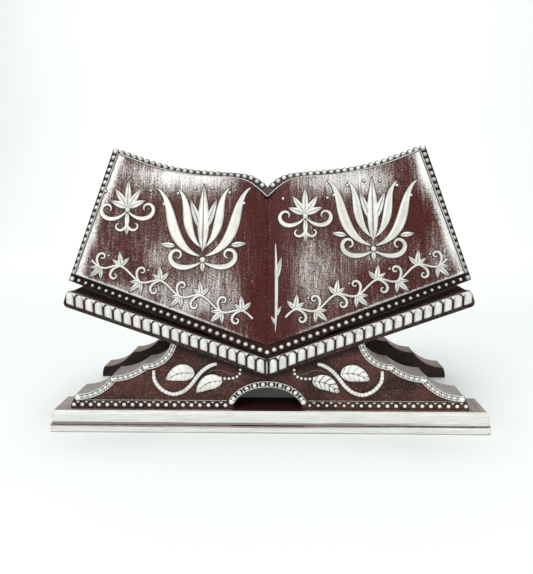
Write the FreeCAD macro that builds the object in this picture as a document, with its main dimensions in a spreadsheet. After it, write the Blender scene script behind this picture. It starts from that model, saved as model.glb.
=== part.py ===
import FreeCAD, Part
import math
import os

import Sketcher
from FreeCAD import Placement, Rotation, Vector

# Decorative table stand: an open book leans on two wing boards that meet in a V, carried by a
# front and a rear leg panel. The front panel stands on a plinth bar.
# Frame: +Z up, +X right, the front faces -Y, origin at the middle of the footprint.

SIZES = [
    # footprint and plinth bar
    ("depth", 101), ("plinth_half", 110.8), ("plinth_depth", 22), ("plinth_height", 11.2),
    ("lip_height", 3.6), ("lip_step", 0.9), ("groove_height", 0.9),
    ("plinth_round", 1.5), ("plinth_bevel", 1.3),
    # leg panels: half outline from the foot to the top of the V, heights over the panel's foot
    ("front_y", 3.7), ("front_thick", 15.2), ("rear_thick", 14.8), ("foot_swell", 0.5),
    ("front_foot_x", 101.6), ("front_end_x", 98.0), ("front_end_z", 8.0),
    ("front_one_x", 78.7), ("front_one_z", 17.9), ("front_two_x", 61.9), ("front_two_z", 24.3),
    ("front_top_x", 48), ("front_top_z", 35.8), ("front_vee_z", 18.7),
    ("rear_foot_x", 113), ("rear_end_x", 111.4), ("rear_end_z", 7.0),
    ("rear_one_x", 91.9), ("rear_one_z", 16.9), ("rear_two_x", 74.6), ("rear_two_z", 24.6),
    ("rear_top_x", 52), ("rear_top_z", 48.41), ("rear_vee_z", 29.9),
    ("arch_half", 17.6), ("arch_rise", 12.1),
    # bands, beads and leaves on the front panel
    ("band_width", 3.1), ("band_thick", 1.2), ("band_foot", 3.7),
    ("bead_radius", 1.15), ("base_count", 19), ("base_pitch", 4.34), ("base_start", 21.4),
    ("base_bead_z", 2.35), ("stem_half", 1.1), ("relief_thick", 1.2),
    ("tendril_radius", 0.8), ("tendril_pitch", 2.15),
    # V boards and their moulded front rails
    ("vee_slope", 0.356), ("wing_z", 29.9), ("wing_rise", 7.65), ("wing_x", 100.2),
    ("rail_y", 1.0), ("rail_deep", 3.4), ("rail_rise", 8.8), ("rail_over", 0.6), ("rail_round", 2.4),
    ("tooth_count", 21), ("tooth_pitch", 4.97), ("tooth_first", 3.2), ("tooth_half", 1.95),
    ("tooth_foot", 1.7), ("tooth_high", 6.3), ("tooth_crown", 1.5), ("tooth_thick", 1.0),
    ("divider_half", 0.55), ("divider_low", 1.6), ("divider_high", 7.2),
    # book: a leaning plane with X across, Y up the page, Z out of the page
    ("book_tilt", 72), ("book_y", 4.8), ("book_z", 38.87), ("cover_thick", 4.0), ("rim", 3.8),
    ("cover_x", 103.2), ("cover_low", 39.0), ("cover_top_x", 82.8), ("cover_top", 110.3),
    ("cover_waist_x", 51.5), ("cover_waist", 100.0), ("cover_crown_x", 24), ("cover_crown", 96.6),
    ("cover_shoulder_x", 9), ("cover_shoulder", 94.63), ("cover_notch", 88.4),
    ("page_gutter_x", 0.12), ("page_foot", 5.5), ("page_low_x", 99.3), ("page_low", 41.95),
    ("page_notch", 82.0), ("page_gutter", 0.9), ("page_swell", 2.36), ("page_hump", 3.8),
    ("page_mid", 2.6), ("page_edge", 2.2), ("frame_width", 0.8), ("frame_high", 2.7),
    ("ornament_high", 0.9), ("rim_bead", 1.35), ("rim_inset", 1.75), ("rim_pitch", 3.58),
    ("rim_side_count", 19), ("low_count", 28), ("low_inset", 1.9), ("low_lift", 2.0),
    # gussets behind the book
    ("rest_x", 34), ("rest_thick", 7), ("rest_low", 6), ("rest_top", 74), ("rest_head", 4),
    ("rest_foot", 58),
]

doc = FreeCAD.newDocument("quran_stand")
sheet = doc.addObject("Spreadsheet::Sheet", "Sizes")
for line, (alias, size) in enumerate(SIZES, start=1):
    sheet.set("A%d" % line, alias)
    sheet.set("B%d" % line, str(size))
    sheet.setAlias("B%d" % line, alias)
doc.recompute()
nodes = []


# ---------------------------------------------------------------- values and bodies

def val(alias):
    """The number held by a cell."""
    return float(sheet.get(alias))


def worth(text):
    """The number that an expression over the cells gives."""
    return float(sheet.evalExpression(text))


def sided(side, text):
    """An x expression, turned over on the left side."""
    return text if side > 0 else "-(%s)" % text


def new_body(label, base_y="0", base_z="0"):
    """A body whose place is bound to the sheet. base_y counts from the plinth's front face."""
    body = doc.addObject("PartDesign::Body", label)
    body.Label = label
    body.AllowCompound = True
    body.setExpression(".Placement.Base.y", "%s - Sizes.depth / 2" % base_y)
    body.setExpression(".Placement.Base.z", base_z)
    nodes.append(body)
    return body


def panel_body(label):
    """A body on the front panel's face."""
    return new_body(label, "Sizes.front_y", "Sizes.plinth_height")


def book_body(label):
    """A body in the book's leaning plane."""
    body = new_body(label, "Sizes.book_y", "Sizes.book_z")
    body.Placement = Placement(Vector(0, 0, 0), Rotation(Vector(1, 0, 0), val("book_tilt")))
    body.setExpression(".Placement.Rotation.Angle", "Sizes.book_tilt")
    return body


def sketch_on(body, role, name):
    plane = [item for item in body.Origin.OriginFeatures if item.Role == role][0]
    sketch = body.newObject("Sketcher::SketchObject", name)
    sketch.AttachmentSupport = (plane, "")
    sketch.MapMode = "FlatFace"
    return sketch


def pad(body, sketch, length, reverse=False):
    feature = body.newObject("PartDesign::Pad", "Pad")
    feature.Profile = sketch
    feature.setExpression("Length", length)
    feature.Reversed = reverse
    return feature


def pocket(body, sketch, length):
    """A cut through everything near the sketch, to both sides of it."""
    feature = body.newObject("PartDesign::Pocket", "Pocket")
    feature.Profile = sketch
    feature.Length = length
    feature.Midplane = True
    return feature


# ---------------------------------------------------------------- sketch outlines

def pin(sketch, line, corner):
    """Binds the start of a sketch line to a pair of expressions."""
    for kind, axis, text in zip(("DistanceX", "DistanceY"), (-2, -1), corner):
        if text == "0":
            sketch.addConstraint(Sketcher.Constraint("PointOnObject", line, 1, axis))
            continue
        index = sketch.addConstraint(Sketcher.Constraint(kind, line, 1, worth(text)))
        sketch.setExpression("Constraints[%d]" % index, text)


def polygon(sketch, corners):
    """A closed outline of straight lines whose corners are bound to the sheet."""
    points = [Vector(worth(x), worth(y), 0) for x, y in corners]
    first = sketch.GeometryCount
    count = len(points)
    for i in range(count):
        sketch.addGeometry(Part.LineSegment(points[i], points[(i + 1) % count]), False)
    for i, corner in enumerate(corners):
        after = first + (i + 1) % count
        sketch.addConstraint(Sketcher.Constraint("Coincident", first + i, 2, after, 1))
        pin(sketch, first + i, corner)


def box(sketch, half, low, high):
    """A rectangle from -half to half in x and from low to high in y."""
    polygon(sketch, [("-(%s)" % half, low), (half, low), (half, high), ("-(%s)" % half, high)])


def loop(sketch, curves):
    """A closed outline of ready curves, joined end to end."""
    first = sketch.GeometryCount
    for curve in curves:
        sketch.addGeometry(curve, False)
    count = len(curves)
    free = (1, 2)
    last = (1, 2)
    for i in range(count):
        one = first + i
        two = first + (i + 1) % count
        ends = last if i == count - 1 else (1, 2)
        p, q = min(
            ((a, b) for a in free for b in ends),
            key=lambda ab: sketch.getPoint(one, ab[0]).distanceToPoint(sketch.getPoint(two, ab[1])),
        )
        sketch.addConstraint(Sketcher.Constraint("Coincident", one, p, two, q))
        free = (3 - q,)
        if i == 0:
            last = (3 - p,)


def seg(a, b):
    return Part.LineSegment(Vector(*a, 0), Vector(*b, 0))


def arc(a, b, c):
    return Part.Arc(Vector(*a, 0), Vector(*b, 0), Vector(*c, 0))


def bulge(a, b, sag):
    """An arc from a to b that bows out by sag to the left of the way from a to b."""
    length = math.hypot(b[0] - a[0], b[1] - a[1])
    nx = -(b[1] - a[1]) / length
    ny = (b[0] - a[0]) / length
    return arc(a, ((a[0] + b[0]) / 2 + nx * sag, (a[1] + b[1]) / 2 + ny * sag), b)


def spline(points):
    curve = Part.BSplineCurve()
    curve.interpolate([Vector(x, y, 0) for x, y in points])
    return curve


def mirror(curves, side):
    """The same curves, turned over on the left side."""
    if side > 0:
        return curves
    matrix = FreeCAD.Matrix()
    matrix.A11 = -1
    flipped = [curve.copy() for curve in curves]
    for curve in flipped:
        curve.transform(matrix)
    return flipped


def ends_of(curve):
    return [(point.x, point.y) for point in (curve.StartPoint, curve.EndPoint)]


# ---------------------------------------------------------------- leg panels

def ring_of(outer, inner):
    """The circle that leaves the outer point level and passes through the inner one."""
    dx = inner[0] - outer[0]
    dz = inner[1] - outer[1]
    radius = (dx * dx + dz * dz) / (2 * dz)
    return outer[0], outer[1] + radius, radius


def ring_arc(ring, one, two):
    """The part of a circle between two points near it, through its left and lower side."""
    cx, cz, radius = ring
    full = 2 * math.pi
    middle = sum(math.atan2(point[1] - cz, point[0] - cx) % full for point in (one, two)) / 2
    return arc(one, (cx + radius * math.cos(middle), cz + radius * math.sin(middle)), two)


def scallop_points(prefix):
    """The ends of the three hollows of one side, from the foot up to the V."""
    return [(val(prefix + name + "_x"), val(prefix + name + "_z")) for name in ("end", "one", "two", "top")]


def scallops(points):
    """The three hollow arcs of one side."""
    return [ring_arc(ring_of(outer, inner), outer, inner) for outer, inner in zip(points, points[1:])]


def arch_curve(half, rise, foot=0.0):
    """The upper half of an ellipse, cut at the height foot."""
    start = math.asin(foot / rise)
    return Part.ArcOfEllipse(Part.Ellipse(Vector(0, 0, 0), half, rise), start, math.pi - start)


def leg_panel(label, prefix, front, thick, base):
    """An upright panel with an arch at its foot, scalloped shoulders and a V at its top."""
    arch = val("arch_half")
    foot = (val(prefix + "foot_x"), 0)
    points = scallop_points(prefix)
    vee = (0, val(prefix + "vee_z"))
    half = [seg((arch, 0), foot), bulge(foot, points[0], -val("foot_swell"))]
    half += scallops(points) + [seg(points[-1], vee)]
    body = new_body(label, front, base)
    sketch = sketch_on(body, "XZ_Plane", label + "_outline")
    loop(sketch, half + list(reversed(mirror(half, -1))) + [arch_curve(arch, val("arch_rise"))])
    pad(body, sketch, thick, reverse=True)


# ---------------------------------------------------------------- beaded bands on the front panel

def cross(one, two, near):
    """The meeting point of two circles that lies nearest to a point."""
    (x1, y1, r1), (x2, y2, r2) = one, two
    gap = math.hypot(x2 - x1, y2 - y1)
    along = (r1 * r1 - r2 * r2 + gap * gap) / (2 * gap)
    up = math.sqrt(r1 * r1 - along * along)
    ux, uy = (x2 - x1) / gap, (y2 - y1) / gap
    found = [(x1 + along * ux - s * up * uy, y1 + along * uy + s * up * ux) for s in (-1, 1)]
    return min(found, key=lambda p: math.hypot(p[0] - near[0], p[1] - near[1]))


def on_vee(ring):
    """The point where a circle meets the sloping top of the panel, on its inner side."""
    cx, cz, radius = ring
    slope = val("vee_slope")
    drop = val("front_vee_z") - cz
    a = 1 + slope * slope
    b = slope * drop - cx
    c = cx * cx + drop * drop - radius * radius
    x = (-b - math.sqrt(b * b - a * c)) / a
    return x, val("front_vee_z") + slope * x


def scallop_beading(side, label):
    """A flat band along the scalloped edge of the front panel."""
    width = val("band_width")
    points = scallop_points("front_")
    rings = [ring_of(outer, inner) for outer, inner in zip(points, points[1:])]
    wide = [(cx, cz, radius + width) for cx, cz, radius in rings]
    inside = [(points[0][0], points[0][1] - width), cross(wide[0], wide[1], points[1]),
              cross(wide[1], wide[2], points[2]), on_vee(wide[2])]
    curves = scallops(points) + [seg(points[3], inside[3])]
    curves += [ring_arc(wide[i], inside[i + 1], inside[i]) for i in (2, 1, 0)]
    curves.append(seg(inside[0], points[0]))
    relief(side, label, curves, "Sizes.band_thick")


def arch_beading():
    """A flat band round the arch."""
    half, rise, foot, width = [val(name) for name in ("arch_half", "arch_rise", "band_foot", "band_width")]
    inner = arch_curve(half, rise, foot)
    outer = arch_curve(half + width, rise + width, foot)
    right, left = [seg(a, b) for a, b in zip(ends_of(inner), ends_of(outer))]
    relief(1, "arch_beading", [inner, right, outer, left], "Sizes.band_thick")


def relief(side, label, curves, thick="Sizes.relief_thick"):
    """A low pad on the front panel's face."""
    body = panel_body(label)
    sketch = sketch_on(body, "XZ_Plane", label + "_outline")
    loop(sketch, mirror(curves, side))
    pad(body, sketch, thick)


# ---------------------------------------------------------------- plinth

def edges_where(shape, test):
    """The names of the edges whose two ends both pass a test."""
    return ["Edge%d" % i for i, edge in enumerate(shape.Edges, start=1)
            if len(edge.Vertexes) == 2 and test(edge.Vertexes[0].Point, edge.Vertexes[1].Point)]


def front_plinth():
    """A bar with a wider lip at its foot, a groove above it, and a bevelled top edge."""
    body = new_body("front_plinth")
    wide = "Sizes.plinth_half + Sizes.lip_step"
    neck_top = "Sizes.lip_height + Sizes.groove_height"
    layers = [(wide, "0", "Sizes.lip_height", "0"),
              (wide + " - 2 * Sizes.lip_step", "2 * Sizes.lip_step", neck_top, "0"),
              ("Sizes.plinth_half", "Sizes.lip_step / 2", "Sizes.plinth_height - (%s)" % neck_top, neck_top)]
    for i, (half, front, tall, base) in enumerate(layers):
        sketch = sketch_on(body, "XY_Plane", "plinth_layer_%d" % i)
        box(sketch, half, front, "Sizes.plinth_depth")
        sketch.setExpression(".AttachmentOffset.Base.z", base)
        bar = pad(body, sketch, tall)
    doc.recompute()
    middle = 0.5 * val("plinth_depth")
    upright = edges_where(bar.Shape, lambda a, b: abs(a.z - b.z) > 0.5 and max(a.y, b.y) < middle)
    rounded = body.newObject("PartDesign::Fillet", "corners")
    rounded.Base = (bar, upright)
    rounded.setExpression("Radius", "Sizes.plinth_round")
    doc.recompute()
    top = val("plinth_height")
    rim = edges_where(rounded.Shape, lambda a, b: min(a.z, b.z) > top - 0.01)
    bevel = body.newObject("PartDesign::Chamfer", "bevel")
    bevel.Base = (rounded, rim)
    bevel.setExpression("Size", "Sizes.plinth_bevel")


# ---------------------------------------------------------------- wings and rails

def wing_board(side, label):
    """Half of the V board: level from front to back, rising outwards."""
    slope = "Sizes.vee_slope"
    rise = "Sizes.wing_rise"
    high_x = "(Sizes.wing_x - %s * %s / (1 + %s ^ 2))" % (rise, slope, slope)
    body = new_body(label, "(Sizes.rail_y + Sizes.rail_deep)", "Sizes.wing_z")
    sketch = sketch_on(body, "XZ_Plane", label + "_outline")
    polygon(sketch, [("0", "0"), (sided(side, "Sizes.wing_x"), slope + " * Sizes.wing_x"),
                     (sided(side, high_x), "%s * %s + %s" % (slope, high_x, rise)), ("0", rise)])
    pad(body, sketch, "Sizes.depth - Sizes.rail_y - Sizes.rail_deep", reverse=True)


def front_rail(side, label):
    """The moulded front edge of a wing board, with a rounded outer end."""
    slope = val("vee_slope")
    rise = val("rail_rise")
    curl = val("rail_round")
    far = val("wing_x") + val("rail_over")
    lean = rise * slope / (1 + slope * slope)
    run = Vector(1, slope, 0).normalize() * curl
    lift = Vector(-slope, 1, 0).normalize() * curl
    low = Vector(far, slope * far, 0)
    high = Vector(far - lean, slope * (far - lean) + rise, 0)
    corners = [(0, 0)] + [(p.x, p.y) for p in (low - run, low + lift, high - lift, high - run)] + [(0, rise)]
    sag = (1 - math.sqrt(0.5)) * curl
    curves = [seg(corners[0], corners[1]), bulge(corners[1], corners[2], -sag), seg(corners[2], corners[3]),
              bulge(corners[3], corners[4], -sag), seg(corners[4], corners[5]), seg(corners[5], corners[0])]
    body = new_body(label, "Sizes.rail_y", "Sizes.wing_z")
    sketch = sketch_on(body, "XZ_Plane", label + "_outline")
    loop(sketch, mirror(curves, side))
    pad(body, sketch, "Sizes.rail_deep", reverse=True)


def gadroons(side, label):
    """A row of upright round-topped teeth along the face of a rail."""
    slope = val("vee_slope")
    half = val("tooth_half")
    start = val("tooth_first")
    shoulder = val("tooth_high") - val("tooth_crown")
    feet = [(x, slope * x + val("tooth_foot")) for x in (start - half, start + half)]
    heads = [(x, z + shoulder) for x, z in reversed(feet)]
    curves = [seg(feet[0], feet[1]), seg(feet[1], heads[0]), bulge(heads[0], heads[1], -val("tooth_crown")),
              seg(heads[1], feet[0])]
    body = new_body(label, "Sizes.rail_y", "Sizes.wing_z")
    sketch = sketch_on(body, "XZ_Plane", label + "_tooth")
    loop(sketch, mirror(curves, side))
    line = sketch.addGeometry(seg((0, 0), (side * start, slope * start)), True)
    sketch.addConstraint(Sketcher.Constraint("Coincident", line, 1, -1, 1))
    pattern = body.newObject("PartDesign::LinearPattern", "Row")
    pattern.Originals = [pad(body, sketch, "Sizes.tooth_thick")]
    pattern.Direction = (sketch, ["Axis0"])
    pattern.setExpression("Occurrences", "Sizes.tooth_count")
    pattern.setExpression("Length", "Sizes.tooth_pitch * (Sizes.tooth_count - 1)")
    body.Tip = pattern


def rail_centre_bead():
    """A narrow upright divider where the two rails meet."""
    body = new_body("rail_centre_bead", "Sizes.rail_y", "Sizes.wing_z")
    sketch = sketch_on(body, "XZ_Plane", "divider_outline")
    box(sketch, "Sizes.divider_half", "Sizes.divider_low", "Sizes.divider_high")
    pad(body, sketch, "Sizes.tooth_thick")


# ---------------------------------------------------------------- beads, stem and leaves

def bead_group(label, centres, radius, toward, place):
    """Half-round beads at given centres, all facing one way."""
    feature = doc.addObject("Part::Feature", label)
    feature.Label = label
    feature.Shape = Part.makeCompound([Part.makeSphere(radius, c, toward, 0, 90, 360) for c in centres])
    feature.Placement = place
    nodes.append(feature)


def panel_beads(label, points, radius):
    """Beads at points (across, up) of the front panel's face."""
    place = Placement(Vector(0, val("front_y") - val("depth") / 2, val("plinth_height")), Rotation())
    bead_group(label, [Vector(x, 0, z) for x, z in points], radius, Vector(0, -1, 0), place)


def base_beads(side, label):
    """A straight row of beads along the foot of the front panel."""
    height = val("base_bead_z")
    steps = range(int(val("base_count")))
    panel_beads(label, [(side * (val("base_start") + i * val("base_pitch")), height) for i in steps],
                val("bead_radius"))


def tendril(side, label):
    """Small beads that trail from the lower leaf and curl up."""
    path = spline([(23.4, 17.6), (20.4, 16.6), (16.4, 17.0), (13.9, 19.0), (13.5, 21.2)]).toShape()
    count = round(path.Length / val("tendril_pitch")) + 1
    panel_beads(label, [(side * p.x, p.y) for p in path.discretize(Number=count)], val("tendril_radius"))


def ribbon(points, half):
    """The outline of a strip of even width along points."""
    edges = []
    for way in (-half, half):
        edge = []
        for i, (x, y) in enumerate(points):
            before = points[max(0, i - 1)]
            after = points[min(len(points) - 1, i + 1)]
            run = math.hypot(after[0] - before[0], after[1] - before[1])
            edge.append((x - way * (after[1] - before[1]) / run, y + way * (after[0] - before[0]) / run))
        edges.append(edge)
    one, two = edges
    return [spline(one), seg(one[-1], two[-1]), spline(two), seg(two[0], one[0])]


def stem(side, label):
    """A U-shaped stem that swings up towards the middle of the panel."""
    bow = [(57.4, 20.6), (57.0, 15.2), (53.6, 10.6), (48.4, 8.2), (43.2, 9.4), (39.0, 12.8),
           (35.8, 17.0), (32.6, 20.6), (28.6, 23.3), (25.2, 24.4)]
    relief(side, label, ribbon(bow, val("stem_half")))


def lens(tip, base, left, right):
    """A pointed leaf from its tip to its base, with the bow of each side."""
    return [bulge(tip, base, left), bulge(base, tip, right)]


# ---------------------------------------------------------------- book

def cover_top_points(drop):
    """Points along the top of one cover half from the outer corner to the notch."""
    names = ("cover_top", "cover_waist", "cover_crown", "cover_shoulder")
    return [(val(name + "_x"), val(name) - drop) for name in names] + [(0.0, val("cover_notch") - drop)]


def book_cover():
    """The flat back board of the open book, with a notch at the top of the spine."""
    top = cover_top_points(0)
    low = (val("cover_x"), val("cover_low"))
    half = [seg((0, 0), low), seg(low, top[0]), spline(top)]
    body = book_body("book_cover")
    sketch = sketch_on(body, "XY_Plane", "cover_outline")
    loop(sketch, half + list(reversed(mirror(half, -1))))
    pad(body, sketch, "Sizes.cover_thick", reverse=True)


def page_outline(grow=0.0):
    """The outline of the right page: foot, outer edge, top curve and gutter."""
    inset = val("rim") - grow
    lean = (val("cover_x") - val("cover_top_x")) / (val("cover_top") - val("cover_low"))
    shrink = 1 - inset * math.hypot(1, lean) / val("cover_top_x")
    top = [(x * shrink, y) for x, y in cover_top_points(inset)[:-1]]
    gutter = val("page_gutter_x")
    corner = (val("page_low_x") + grow, val("page_low"))
    notch = (gutter, val("page_notch") + grow)
    foot = (gutter, val("page_foot"))
    return [seg(foot, corner), seg(corner, top[0]), spline(top + [notch]), seg(notch, foot)]


def surface_points(lift):
    """Height of the page above the cover, from the gutter to the outer edge."""
    marks = [(0.0, "page_gutter"), (6.0, "page_swell"), (20.0, "page_hump"), (60.0, "page_mid"),
             (val("cover_x"), "page_edge")]
    return [(x, val(name) + lift) for x, name in marks]


def page_shell(side, label, under, lift):
    """A body between the line under and the page's surface raised by lift, before it is trimmed."""
    top = surface_points(lift)
    ends = ends_of(under)
    body = book_body(label)
    sketch = sketch_on(body, "XZ_Plane", label + "_section")
    loop(sketch, mirror([under, seg(ends[1], top[-1]), spline(top), seg(top[0], ends[0])], side))
    pad(body, sketch, "Sizes.cover_top + Sizes.rim", reverse=True)
    return body


def keep_only(body, outlines):
    """Cuts away all of a page shell but the given outlines."""
    sketch = sketch_on(body, "XY_Plane", body.Label + "_trim")
    box(sketch, "Sizes.cover_x + 10", "-10", "Sizes.cover_top + 20")
    for curves in outlines:
        loop(sketch, curves)
    pocket(body, sketch, 60)


def page_block(side, label):
    """The swelling stack of pages of one half, on the cover."""
    floor = seg((0, 0), (val("cover_x"), 0))
    keep_only(page_shell(side, label, floor, 0.0), [mirror(page_outline(), side)])


def page_frame(side, label):
    """A thin raised line along the outer edge and the top of a page."""
    outer = page_outline(val("frame_width"))
    inner = page_outline()
    gutter = seg(ends_of(outer[2])[1], ends_of(inner[2])[1])
    corner = seg(ends_of(inner[1])[0], ends_of(outer[1])[0])
    body = book_body(label)
    sketch = sketch_on(body, "XY_Plane", label + "_ring")
    loop(sketch, mirror([outer[1], outer[2], gutter, inner[2], inner[1], corner], side))
    pad(body, sketch, "Sizes.frame_high")


def book_beads(label, points, radius):
    """Beads at points (across, up the page) of the cover's face."""
    base = Vector(0, val("book_y") - val("depth") / 2, val("book_z"))
    place = Placement(base, Rotation(Vector(1, 0, 0), val("book_tilt")))
    bead_group(label, [Vector(x, y, 0) for x, y in points], radius, Vector(0, 0, 1), place)


def rim_beads(side, label):
    """Beads round the top and the outer side of the cover's rim."""
    inset = val("rim_inset")
    shrink = 1 - inset / val("cover_top_x")
    top = spline([(x * shrink, y) for x, y in cover_top_points(inset)]).toShape()
    marks = top.discretize(Number=int(top.Length / val("rim_pitch")) + 1)
    points = [(side * mark.x, mark.y) for mark in marks[:-1]]
    low = Vector(val("cover_x") - 1.25 * inset, val("cover_low") + 0.55 * inset, 0)
    count = int(val("rim_side_count"))
    for i in range(1, count + 1):
        spot = marks[0] + (low - marks[0]) * (i / (count + 1))
        points.append((side * spot.x, spot.y))
    book_beads(label, points, val("rim_bead"))


def lower_beads(side, label):
    """A straight row of beads along the foot of the cover."""
    count = int(val("low_count"))
    pitch = (val("cover_x") - val("low_inset")) / count
    slope = val("cover_low") / val("cover_x")
    points = [(side * i * pitch, slope * i * pitch + val("low_lift")) for i in range(1, count + 1)]
    book_beads(label, points, val("bead_radius"))


def book_rest(side, label):
    """A triangular gusset that stands on a wing board and backs the cover."""
    tilt = math.radians(val("book_tilt"))
    back = val("book_y") + val("cover_thick") * math.sin(tilt)
    base = val("book_z") - val("cover_thick") * math.cos(tilt)
    low, top = [(back + up * math.cos(tilt), base + up * math.sin(tilt))
                for up in (val("rest_low"), val("rest_top"))]
    head = (top[0] + val("rest_head"), top[1])
    foot = (val("rest_foot"), low[1])
    body = new_body(label)
    sketch = sketch_on(body, "YZ_Plane", label + "_side")
    loop(sketch, [seg(low, top), seg(top, head), seg(head, foot), seg(foot, low)])
    sketch.setExpression(".AttachmentOffset.Base.z", "%d * Sizes.rest_x - Sizes.rest_thick / 2" % side)
    pad(body, sketch, "Sizes.rest_thick")
    board_top = "Sizes.wing_z + Sizes.wing_rise"
    far = sided(side, "Sizes.wing_x")
    cut = sketch_on(body, "XZ_Plane", label + "_foot")
    polygon(cut, [("0", "0"), ("0", board_top), (far, board_top + " + Sizes.vee_slope * Sizes.wing_x"),
                  (far, "0")])
    pocket(body, cut, 3 * val("depth"))


# ---------------------------------------------------------------- page ornament

def petals(centre, fan, length, fat, start=2.0):
    """Leaves that spread from a centre, one for each angle and scale of a fan."""
    outlines = []
    for angle, scale in fan:
        turn = math.radians(angle)
        root, tip = [(centre[0] + away * math.cos(turn), centre[1] + away * math.sin(turn))
                     for away in (start, length * scale)]
        outlines.append(lens(tip, root, fat * scale, fat * scale))
    return outlines


def ornament(side, label, outlines):
    """Low raised leaves that follow the page's surface."""
    body = page_shell(side, label, spline(surface_points(0.0)), val("ornament_high"))
    keep_only(body, [mirror(curves, side) for curves in outlines])


def page_motif(side, label, centre):
    """A large palmette in the middle of a page."""
    x, y = centre
    outlines = petals((x, y - 15), [(90, 1.25), (130, 1.05), (50, 1.05), (168, 0.9), (12, 0.9)], 19, 2.6)
    outlines += petals((x, y - 17), [(235, 1.0), (305, 1.0)], 12, 1.6)
    ornament(side, label, outlines)


def page_spray(side, label, centre):
    """A small five-leaf spray."""
    fan = [(100, 1.15), (145, 1.0), (55, 1.0), (200, 0.75), (0, 0.75)]
    ornament(side, label, petals(centre, fan, 11.5, 1.4, 1.4))


def page_border(side, label):
    """Leaves in pairs along the foot of a page."""
    slope = val("cover_low") / val("cover_x")
    lean = math.degrees(math.atan(slope))
    pair = [(lean + 38, 1.0), (lean + 142, 1.0)]
    outlines = []
    for i in range(8):
        x = 13 + 10 * i
        outlines += petals((x, slope * x + 13.5 - 0.25 * i), pair, 6.2, 1.0, 0.9)
    ornament(side, label, outlines)


def build():
    front_plinth()
    leg_panel("front_leg_panel", "front_", "Sizes.front_y", "Sizes.front_thick", "Sizes.plinth_height")
    leg_panel("rear_leg_panel", "rear_", "(Sizes.depth - Sizes.rear_thick)", "Sizes.rear_thick", "0")
    arch_beading()
    rail_centre_bead()
    book_cover()
    book_beads("spine_bead", [(0, val("low_lift"))], val("bead_radius"))
    ornament(1, "gutter_spray", [lens((5.4, 60.0), (4.6, 12.0), 0.9, 0.9)])
    sides = ((-1, "left_", (33, 67), (73, 77)), (1, "right_", (54, 71.5), (19.5, 72.5)))
    for side, word, motif, spray in sides:
        wing_board(side, word + "wing_board")
        front_rail(side, word + "front_rail")
        gadroons(side, word + "gadroons")
        scallop_beading(side, word + "scallop_beading")
        base_beads(side, word + "base_beads")
        stem(side, word + "stem")
        relief(side, word + "upper_leaf", lens((51.3, 15.9), (36.6, 19.0), -4.6, -2.4))
        relief(side, word + "lower_leaf", lens((36.1, 9.3), (22.6, 15.4), -4.4, -2.0))
        tendril(side, word + "tendril")
        page_block(side, word + "page_block")
        page_frame(side, word + "page_frame")
        rim_beads(side, word + "rim_beads")
        lower_beads(side, word + "lower_beads")
        page_motif(side, word + "page_motif", motif)
        page_spray(side, word + "page_spray", spray)
        page_border(side, word + "page_border")
        book_rest(side, word + "book_rest")


def check():
    """Stops before anything is written if an object or a shape has failed."""
    faults = [item.Label for item in doc.Objects if "Invalid" in item.State or "Error" in item.State]
    if faults:
        raise RuntimeError("failed: " + ", ".join(faults))
    for node in nodes:
        if node.Shape.isNull() or not node.Shape.isValid():
            raise RuntimeError("%s has no valid shape" % node.Label)


def export():
    os.makedirs("parts", exist_ok=True)
    for node in nodes:
        node.Shape.exportStep("parts/%s.step" % node.Label)
        space = node.Shape.BoundBox
        print("%-22s solids %3d volume %9.1f  x %7.1f %7.1f  y %7.1f %7.1f  z %7.1f %7.1f" % (
            node.Label, len(node.Shape.Solids), node.Shape.Volume, space.XMin, space.XMax,
            space.YMin, space.YMax, space.ZMin, space.ZMax))


build()
doc.recompute()
check()
export()
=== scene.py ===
import math

import bmesh
import bpy
from mathutils import Matrix, Vector, noise


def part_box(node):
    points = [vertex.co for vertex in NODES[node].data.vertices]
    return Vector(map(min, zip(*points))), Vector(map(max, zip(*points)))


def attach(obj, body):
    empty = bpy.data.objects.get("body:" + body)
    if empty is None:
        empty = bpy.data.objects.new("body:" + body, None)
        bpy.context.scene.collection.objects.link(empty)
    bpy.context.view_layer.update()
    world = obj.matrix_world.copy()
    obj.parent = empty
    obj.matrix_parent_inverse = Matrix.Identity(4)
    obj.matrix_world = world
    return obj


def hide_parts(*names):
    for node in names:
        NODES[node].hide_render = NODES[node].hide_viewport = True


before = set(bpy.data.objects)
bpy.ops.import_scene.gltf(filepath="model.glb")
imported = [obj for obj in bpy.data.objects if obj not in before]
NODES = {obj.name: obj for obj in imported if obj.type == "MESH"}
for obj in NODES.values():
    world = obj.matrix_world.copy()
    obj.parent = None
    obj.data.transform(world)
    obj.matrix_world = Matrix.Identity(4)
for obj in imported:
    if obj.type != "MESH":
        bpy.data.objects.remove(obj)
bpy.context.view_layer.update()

# The looks of a carved and silver-brushed book stand. Sizes are millimetres in the local planes
# below (across, up, out), and every finished mesh is in metres in the row frame.

MM = 0.001

# -------- places read from the frame

BOOK_TILT = math.radians(72)
COVER_THICK = 4.0
PANEL_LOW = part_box("front_leg_panel")[0]
COVER_LOW, COVER_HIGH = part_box("book_cover")
RAIL_LOW, RAIL_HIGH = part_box("right_front_rail")
PLINTH_LOW, PLINTH_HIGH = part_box("front_plinth")
PAGE_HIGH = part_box("right_page_block")[1]


def plane(origin, up, out):
    """The matrix that takes local millimetres (across, up, out) to metres in the row frame."""
    turn = Matrix(((1, 0, 0), up, out)).transposed()
    return Matrix.Translation(origin) @ turn.to_4x4() @ Matrix.Scale(MM, 4)


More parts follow.
